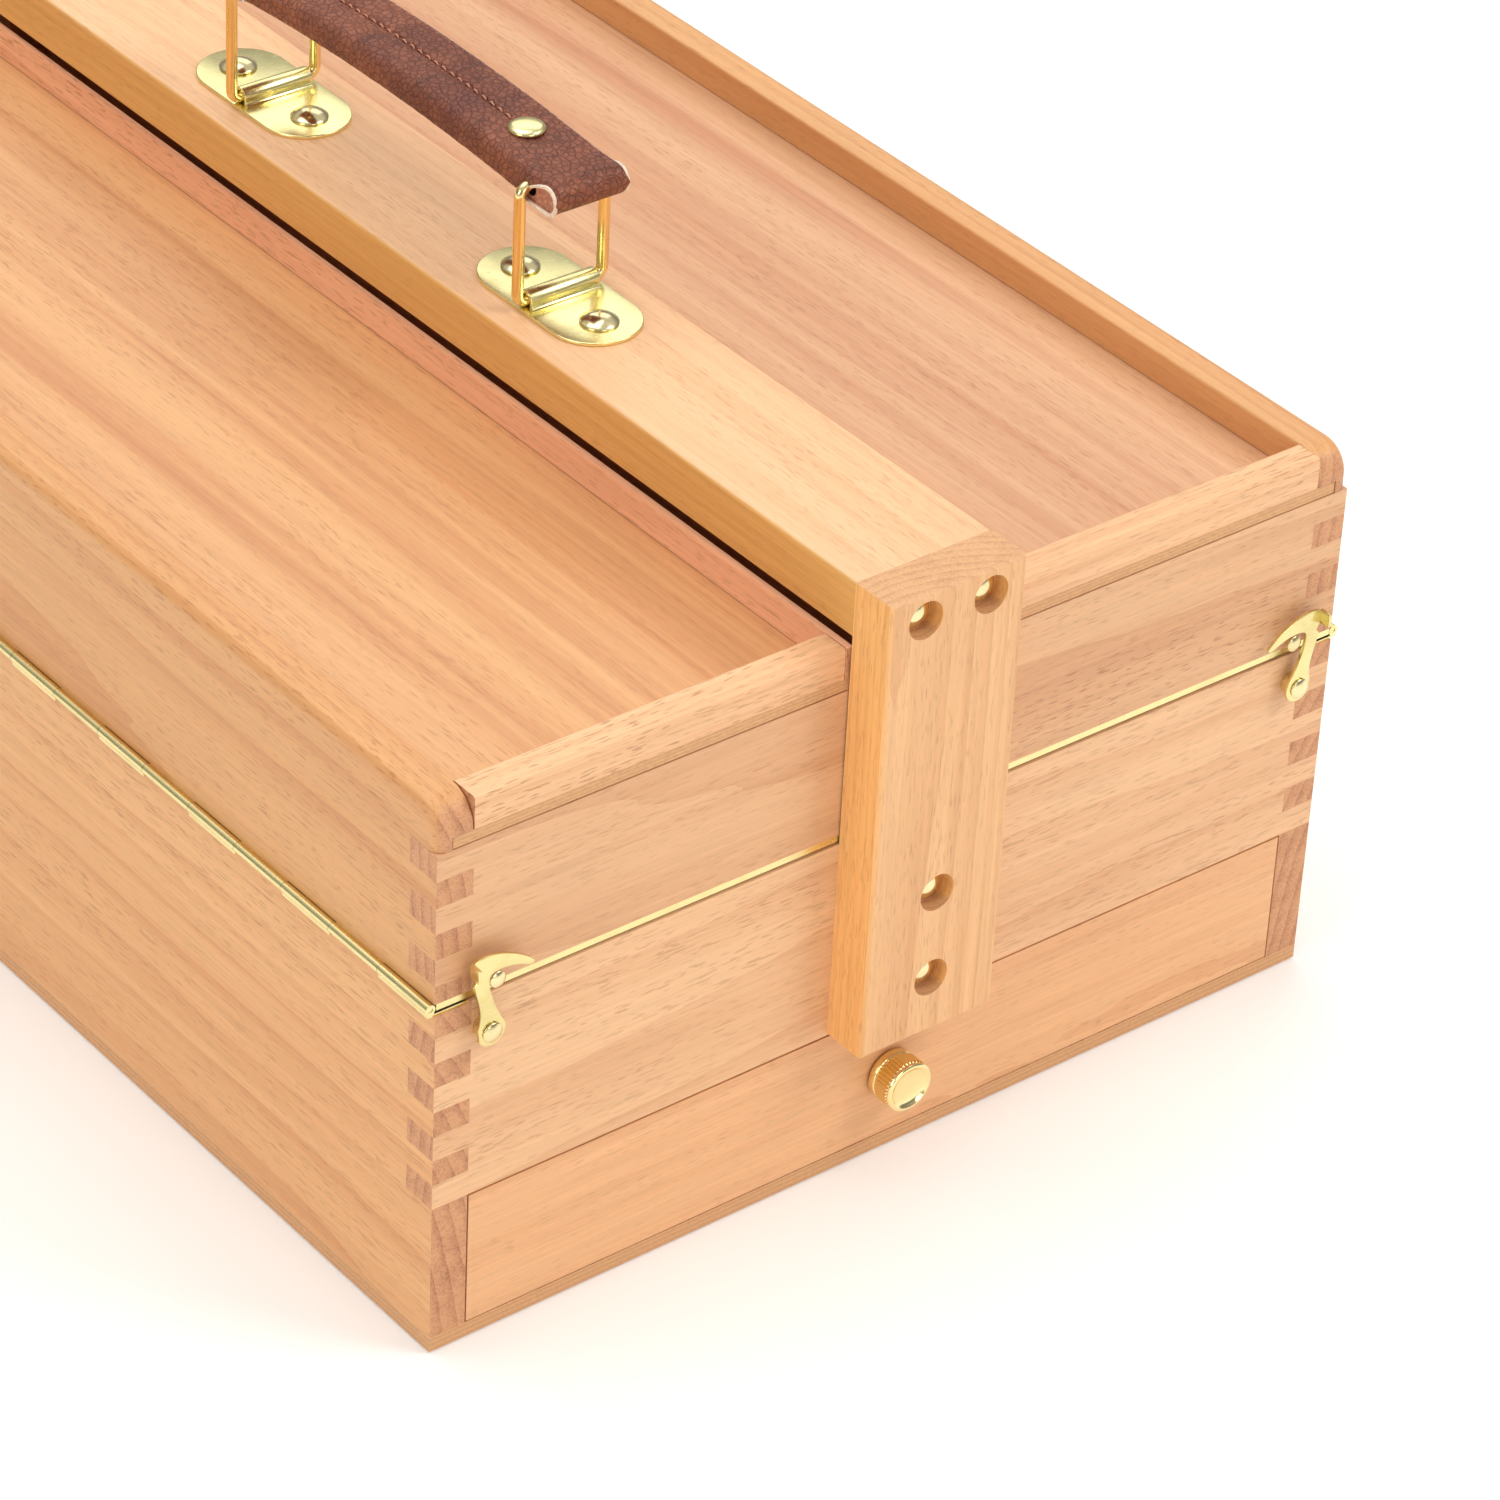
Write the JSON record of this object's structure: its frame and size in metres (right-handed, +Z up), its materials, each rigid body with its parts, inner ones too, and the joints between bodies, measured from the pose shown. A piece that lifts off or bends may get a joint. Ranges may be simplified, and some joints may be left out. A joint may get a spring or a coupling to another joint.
{
  "type": "carpenter toolbox",
  "caption": "Finger-jointed beech carrying box with a front drawer, fold-out upper trays with sliding lids, brass hooks and a leather handle on a centre rail.",
  "frame": {"origin": "centre of the case's underside", "axes": "+Z up, +Y from the drawer face to the back, +X to the right seen from the drawer face"},
  "size_m": [0.2746, 0.426, 0.2112],
  "materials": {
    "beech": "satin",
    "plywood": "satin",
    "brass": "polished",
    "leather": "pebbled"
  },
  "bodies": {
    "case": {"bottom_panel": "plywood", "left_side_panel": "beech", "right_side_panel": "beech", "front_panel": "beech", "back_panel": "beech", "compartment_floor": "plywood", "front_post": "beech", "back_post": "beech", "centre_rail": "beech", "post_screws": "brass", "left_hinge_leaf": "brass", "right_hinge_leaf": "brass", "left_hinge_pin": "brass", "right_hinge_pin": "brass", "hook_screws": "brass", "hook_spacers": "brass", "front_handle_plate": "brass", "back_handle_plate": "brass", "handle_plate_screws": "brass"},
    "left_tray": {"left_tray_outer_wall": "beech", "left_tray_inner_wall": "beech", "left_tray_front_wall": "beech", "left_tray_back_wall": "beech", "left_tray_base_plate": "brass", "left_catch_screw": "brass"},
    "right_tray": {"right_tray_outer_wall": "beech", "right_tray_inner_wall": "beech", "right_tray_front_wall": "beech", "right_tray_back_wall": "beech", "right_tray_base_plate": "brass", "right_catch_screw": "brass"},
    "left_lid": {"left_lid_panel": "plywood", "left_lid_pull": "beech"},
    "right_lid": {"right_lid_panel": "plywood", "right_lid_pull": "beech"},
    "drawer": {"drawer_front": "beech", "drawer_left_side": "beech", "drawer_right_side": "beech", "drawer_back": "beech", "drawer_bottom": "plywood", "drawer_knob": "brass", "knob_screw": "brass"},
    "left_hook": {"left_hook": "brass"},
    "right_hook": {"right_hook": "brass"},
    "front_ring": {"front_handle_ring": "brass"},
    "back_ring": {"back_handle_ring": "brass"},
    "strap": {"handle_strap": "leather", "strap_rivets": "brass"}
  },
  "joints": [
    {"name": "left_tray_hinge", "type": "hinge", "parent": "case", "child": "left_tray", "pos_m": [-0.136, 0, 0.0989], "axis": [0, -1, 0], "range_deg": [0, 180]},
    {"name": "right_tray_hinge", "type": "hinge", "parent": "case", "child": "right_tray", "pos_m": [0.136, 0, 0.0989], "axis": [0, 1, 0], "range_deg": [0, 180]},
    {"name": "left_lid_slide", "type": "slide", "parent": "left_tray", "child": "left_lid", "axis": [0, -1, 0], "range_m": [0, 0.36]},
    {"name": "right_lid_slide", "type": "slide", "parent": "right_tray", "child": "right_lid", "axis": [0, -1, 0], "range_m": [0, 0.36]},
    {"name": "drawer_slide", "type": "slide", "parent": "case", "child": "drawer", "axis": [0, -1, 0], "range_m": [0, 0.33]},
    {"name": "left_hook_turn", "type": "hinge", "parent": "case", "child": "left_hook", "pos_m": [-0.1219, -0.203, 0.0895], "axis": [0, -1, 0], "range_deg": [0, 100]},
    {"name": "right_hook_turn", "type": "hinge", "parent": "case", "child": "right_hook", "pos_m": [0.1219, -0.203, 0.0895], "axis": [0, 1, 0], "range_deg": [0, 100]},
    {"name": "handle_swing", "type": "hinge", "parent": "case", "child": "front_ring", "pos_m": [0, -0.061, 0.1727], "axis": [1, 0, 0], "range_deg": [-70, 70]},
    {"name": "back_ring_swing", "type": "hinge", "parent": "case", "child": "back_ring", "pos_m": [0, 0.061, 0.1727], "axis": [1, 0, 0], "range_deg": [-70, 70]},
    {"name": "strap_swing", "type": "hinge", "parent": "front_ring", "child": "strap", "pos_m": [0, -0.061, 0.204], "axis": [1, 0, 0], "range_deg": [-70, 70]}
  ],
  "couplings": [
    {"joint": "back_ring_swing", "follows": "handle_swing", "ratio": 1},
    {"joint": "strap_swing", "follows": "handle_swing", "ratio": -1}
  ]
}
